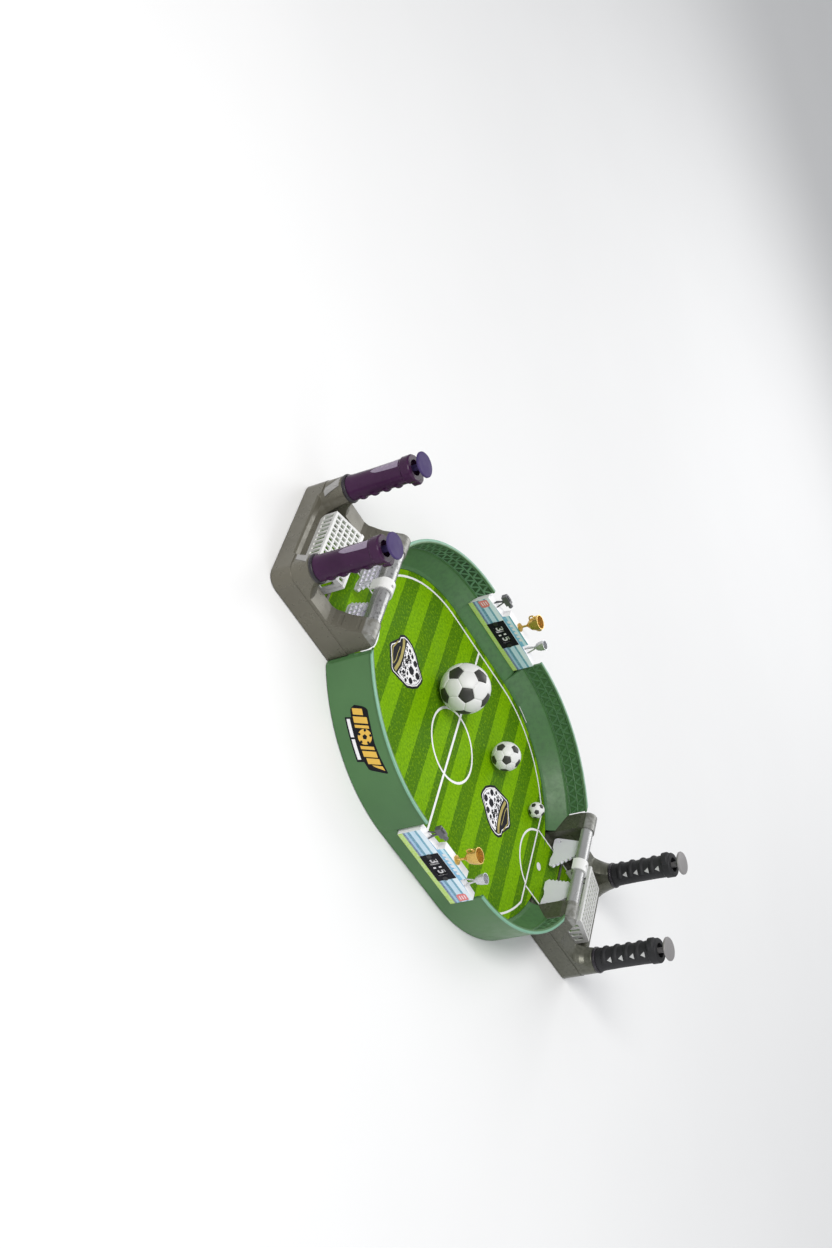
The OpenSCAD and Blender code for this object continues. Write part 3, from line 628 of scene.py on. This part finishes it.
def dial_digits(sy, hx, first):
    """White digits on both faces of a dial; digit `first` stands upright in the window."""
    side, half = ("far" if sy > 0 else "near"), ("right" if hx > 0 else "left")
    name = f"dial_{side}_{half}"
    v, f = [], []
    for face in (-1, 1):
        y = sy * BOARD_Y + face * 3.05
        for k in range(5):
            d = (first - 1 + k) % 5 + 1
            turn = math.radians(72 * k)

            def place(u, w, h, face=face, y=y, turn=turn):
                # u to the viewer's right, w up, before the dial's own turn
                px, pz = -hx * 9.9 + (-face) * u, w
                qx = px * math.cos(turn) - pz * math.sin(turn)
                qz = px * math.sin(turn) + pz * math.cos(turn)
                return ((hx * DIAL_X + qx) * MM, (y + face * h) * MM, (DIAL_Z + qz) * MM)

            fl = Flat(place)
            for st in STROKES[d]:
                fl.ribbon([(p[0] * 1.2, p[1]) for p in st], 2.0, 0.0)
            f += [tuple(i + len(v) for i in q) for q in fl.f]
            v += fl.v
    mesh_obj(name + "_digits", v, f, "line_white", name + "_body")


for sy in (-1, 1):
    dial_digits(sy, -1, 3)
    dial_digits(sy, 1, 5)


def plate(fl_v, fl_f, x0, x1, z0, z1, y0, y1):
    """Adds one flat block to the vertices and faces."""
    i = len(fl_v)
    for y in (y0, y1):
        fl_v += [(x * MM, y * MM, z * MM) for x, z in ((x0, z0), (x1, z0), (x1, z1), (x0, z1))]
    for q in ((0, 1, 2, 3), (7, 6, 5, 4), (0, 4, 5, 1), (1, 5, 6, 2), (2, 6, 7, 3), (3, 7, 4, 0)):
        fl_f.append(tuple(i + k for k in q))


SURROUND = (
    (-21, -13, 27, 50), (13, 21, 27, 50), (-4.6, 4.6, 27, 50), (-13, -4.6, 27, 32.4),
    (4.6, 13, 27, 32.4), (-13, -4.6, 43.6, 50), (4.6, 13, 43.6, 50),
)
PATCH = ((-58, 34), (-48, 34.6), (-46.4, 38), (-47, 44.6), (-49, 46.4), (-57.6, 46))

for sy, side in ((-1, "near"), (1, "far")):
    v, f = [], []
    dots, red, white = Flat(None), Flat(None), Flat(None)
    for face in (-1, 1):
        y0 = sy * BOARD_Y + face * 5.05
        y1 = y0 + face * 0.25
        # black surround of the two windows
        for x0, x1, z0, z1 in SURROUND:
            plate(v, f, x0, x1, z0, z1, min(y0, y1), max(y0, y1))

        def place(u, w, h, y=y0, face=face):
            return (u * MM, (y + face * h) * MM, w * MM)

        for fl in (dots, red, white):
            fl.place = place
        for z in (34.5, 41.5):
            dots.poly([(-1.1, z - 1.6), (1.1, z - 1.6), (1.1, z + 1.6), (-1.1, z + 1.6)], 0.32)
        red.poly([(x * sy, z) for x, z in PATCH], 0.06)
        for z in (37.4, 40.4, 43.4):
            x0, x1 = -55.4 * sy, -49.6 * sy
            white.quad((x0, z - 0.6), (x1, z - 0.2), (x1, z + 0.9), (x0, z + 0.5), 0.10)
        for k in range(6):
            x = 6.2 * k
            white.quad((x - 18, 53.4), (x - 14.2, 53.4), (x - 13, 57.4), (x - 16.8, 57.4), 0.06)
    mesh_obj(f"score_frame_{side}", v, f, "print_black")
    dots.done(f"score_colon_{side}", "line_white", "board_white")
    red.done(f"score_patch_{side}", "print_red", "board_white")
    white.done(f"score_header_{side}", "line_white", "board_white")


# ---------------------------------------------------------------- balls
def basis(a, b):
    e1 = a.normalized()
    e2 = (b - e1 * b.dot(e1)).normalized()
    return Matrix((e1, e2, e1.cross(e2))).transposed()


def soccer_ball(node, name, body, centre, radius):
    """Twelve dark five-sided and twenty white six-sided panels, each domed and sunk at its seams."""
    phi = (1 + 5 ** 0.5) / 2
    ico = [Vector(p).normalized() for p in (
        (-1, phi, 0), (1, phi, 0), (-1, -phi, 0), (1, -phi, 0), (0, -1, phi), (0, 1, phi),
        (0, -1, -phi), (0, 1, -phi), (phi, 0, -1), (phi, 0, 1), (-phi, 0, -1), (-phi, 0, 1))]
    near = min((a - b).length for a in ico for b in ico if a != b) * 1.01
    nb = [[j for j in range(12) if j != i and (ico[i] - ico[j]).length < near] for i in range(12)]

    def corner(i, j):
        return ico[i] * 2 / 3 + ico[j] * 1 / 3

    def ring(points, c):
        ax = (points[0] - c).normalized()
        ay = c.normalized().cross(ax)
        return sorted(points, key=lambda p: math.atan2((p - c).dot(ay), (p - c).dot(ax)))

    panels = []
    for i in range(12):
        pts = [corner(i, j) for j in nb[i]]
        c = sum(pts, Vector()) / 5
        panels.append((ring(pts, c), 1))
    for i in range(12):
        for j in nb[i]:
            for k in nb[i]:
                if i < j < k and k in nb[j]:
                    pts = [corner(a, b) for a in (i, j, k) for b in (i, j, k) if a != b]
                    c = sum(pts, Vector()) / 6
                    panels.append((ring(pts, c), 0))
    rings = [0.0, 0.35, 0.62, 0.8, 0.9, 0.955, 0.985, 1.0]
    seg = 7
    # one black panel faces the viewer, a little to the right; its neighbour sits at the left edge
    out = (CAM - Vector(centre)).normalized()
    side = Vector((0, 0, 1)).cross(out).normalized()
    top = out.cross(side)
    rot = basis(side * 0.27 - top * 0.02 + out * 0.96, side * -0.74 - top * 0.24 + out * 0.63)
    rot = rot @ basis(ico[0], ico[nb[0][0]]).transposed()
    v, f, fm = [], [], []
    for pts, dark in panels:
        c = sum(pts, Vector()) / len(pts)
        edge = []
        for a, b in zip(pts, pts[1:] + pts[:1]):
            edge += [a.lerp(b, t / seg) for t in range(seg)]
        n = len(edge)
        first = len(v)
        for s in rings:
            drop = 0.012 * s ** 4 + 0.022 * max(0.0, (s - 0.9) / 0.1) ** 2
            row = [c] if s == 0 else [c.lerp(e, s) for e in edge]
            for p in row:
                q = rot @ (p.normalized() * radius * (1 - drop))
                v.append((centre[0] + q.x, centre[1] + q.y, centre[2] + q.z))
        for i in range(n):
            f.append((first, first + 1 + i, first + 1 + (i + 1) % n))
            fm.append(dark)
        for r in range(len(rings) - 2):
            a = first + 1 + r * n
            for i in range(n):
                j = (i + 1) % n
                f.append((a + i, a + n + i, a + n + j, a + j))
                fm.append(dark)
    o = mesh_obj(name, v, f, None, body, True, ["ball_white", "ball_dark"], fm)
    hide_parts(node)


for node in ("ball_large", "ball_middle", "ball_small"):
    a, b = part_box(node)
    c = (a + b) / 2
    r = (b.z - a.z) / 2
    soccer_ball(node, f"soccer_{node}", node + "_body", (c.x, c.y, a.z + r), r)


# ---------------------------------------------------------------- painted highlights on the grips
def grip_radius(z):
    h = z - 52.1
    prof = [
        (0, 14.4), (2, 14.5), (6, 14.0), (28.3, 13.6), (56.6, 13.7), (68.9, 14.0), (70.5, 15.2),
        (79.5, 15.3), (80.9, 14.2),
    ]
    for (h0, r0), (h1, r1) in zip(prof, prof[1:]):
        if h <= h1:
            return r0 + (r1 - r0) * (h - h0) / (h1 - h0)
    return prof[-1][1]


def on_grip(sx, sy, deg):
    """u is the arc length round the grip, v the height in millimetres."""

    def place(u, v, h):
        r = grip_radius(v) + h
        a = math.radians(deg) + u / r
        return ((sx * BOSS_X + r * math.cos(a)) * MM, (sy * BOSS_Y + r * math.sin(a)) * MM, v * MM)

    return place


for sy, side in ((-1, "near"), (1, "far")):
    # painted highlight: a pale tapered strip down the outer side of each left grip
    fl = Flat(on_grip(-1, sy, 188))
    n = 16
    cols = []
    for i in range(n + 1):
        v = 84 + 35.5 * i / n
        w = (3.0 + 2.6 * (i / n) ** 0.6) * min(1.0, (i / n * 5) ** 0.5) * (1 if i < n else 0.9)
        cols.append((v, w))
    for (v0, w0), (v1, w1) in zip(cols, cols[1:]):
        for k in range(-3, 3):
            fl.quad((w0 * k / 3, v0), (w0 * (k + 1) / 3, v0), (w1 * (k + 1) / 3, v1), (w1 * k / 3, v1), 0.22)
    fl.done(f"grip_highlight_left_{side}", "grip_highlight_violet", "grip_purple")
    # painted highlights: light grey triangles between the finger ridges of each right grip
    for j in (-1, 1):
        fl = Flat(on_grip(1, sy, 180 + 50 * j))
        for z in (70.6, 85.6, 100.6, 115.2):
            fl.quad((-3.6, z + 2.6), (0, z - 2.8), (0, z - 2.8), (0, z + 2.9), 0.3)
            fl.quad((0, z - 2.8), (0.2, z - 2.8), (3.6, z + 2.6), (0, z + 2.9), 0.3)
        fl.done(f"grip_highlights_right_{side}_{'a' if j < 0 else 'b'}", "grip_highlight_grey", "grip_black")


# ---------------------------------------------------------------- return springs
def coil_spring(end, side, cx, cy):
    """Wound wire with closed end turns."""
    turns, closed, wire, mean = 7.5, 0.8, 0.45, 4.4
    low, high, seat, travel = 88.75, 115.2, 88.25, 8.0
    steps, ring_n = 196, 8
    # closed turns at both ends, even pitch between
    open_turns = turns - 2 * closed
    pitch = (high - low - 2 * closed * wire * 2) / open_turns
    rows = []
    for i in range(steps + 1):
        t = i / steps * turns
        z = low + wire * 2 * min(t, closed)
        z += pitch * min(max(t - closed, 0.0), open_turns)
        z += wire * 2 * max(t - turns + closed, 0.0)
        rows.append((t * math.tau, z))
    v, f = [], []
    for a, z in rows:
        for k in range(ring_n):
            b = k / ring_n * math.tau
            rad = mean + wire * math.cos(b)
            x, y = cx + rad * math.cos(a), cy + rad * math.sin(a)
            v.append((x * MM, y * MM, (z + wire * math.sin(b)) * MM))
    for i in range(steps):
        for k in range(ring_n):
            n = (k + 1) % ring_n
            f.append((i * ring_n + k, i * ring_n + n, (i + 1) * ring_n + n, (i + 1) * ring_n + k))
    f.append(tuple(reversed(range(ring_n))))
    f.append(tuple(steps * ring_n + k for k in range(ring_n)))
    f = [tuple(reversed(q)) for q in f]
    o = mesh_obj(f"coil_{end}_{side}", v, f, "spring_steel", smooth=True)
    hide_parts(f"spring_{end}_{side}")
    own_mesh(o)


for end, sx in (("left", -1), ("right", 1)):
    for side, sy in (("near", -1), ("far", 1)):
        coil_spring(end, side, sx * BOSS_X, sy * BOSS_Y)


# ---------------------------------------------------------------- stage, light, camera
floor_me = bpy.data.meshes.new("floor")
floor_me.from_pydata([(-6, -6, 0), (6, -6, 0), (6, 6, 0), (-6, 6, 0)], [], [(0, 1, 2, 3)])
floor = bpy.data.objects.new("floor", floor_me)
bpy.context.scene.collection.objects.link(floor)
fs = Shade("floor_m")
fs.set(Base_Color=fs.mix(fs.noise(3.0), (0.84, 0.84, 0.84), (0.88, 0.88, 0.88)), Roughness=0.75)
floor.data.materials.append(fs.m)

world = bpy.data.worlds.new("studio")
bpy.context.scene.world = world
world.use_nodes = True
bpy.context.scene.view_settings.view_transform = "Standard"
world.node_tree.nodes["Background"].inputs[0].default_value = (0.96, 0.975, 1.0, 1)
world.node_tree.nodes["Background"].inputs[1].default_value = 0.52


def light(name, loc, size, power, col=(1, 1, 1)):
    d = bpy.data.lights.new(name, "AREA")
    d.size, d.energy, d.color = size, power, col
    o = bpy.data.objects.new(name, d)
    bpy.context.scene.collection.objects.link(o)
    o.location = loc
    o.rotation_euler = (Vector((0, 0, 0.04)) - Vector(loc)).to_track_quat("-Z", "Y").to_euler()


light("key", (-1.2, -0.5, 1.7), 0.9, 27, (1.0, 0.985, 0.96))
light("fill", (0.9, -1.6, 1.1), 1.6, 9, (0.95, 0.97, 1.0))
light("rim", (0.9, 1.6, 1.2), 1.2, 11)

AZ, EL, ROLL = math.radians(-36), math.radians(29), math.radians(74.703)
back = Vector((math.sin(AZ) * math.cos(EL), -math.cos(AZ) * math.cos(EL), math.sin(EL)))
right = (-back).cross(Vector((0, 0, 1))).normalized()
up = right.cross(-back)
c, s = math.cos(ROLL), math.sin(ROLL)
right, up = right * c + up * s, up * c - right * s
cam = bpy.data.objects.new("camera", bpy.data.cameras.new("camera"))
cam.data.lens = 51.45
cam.data.sensor_width = 36.0
cam.data.clip_start = 0.05
rot = Matrix((right, up, back)).transposed().to_4x4()
cam.matrix_world = Matrix.Translation(CAM) @ rot
bpy.context.scene.collection.objects.link(cam)
bpy.context.scene.camera = cam
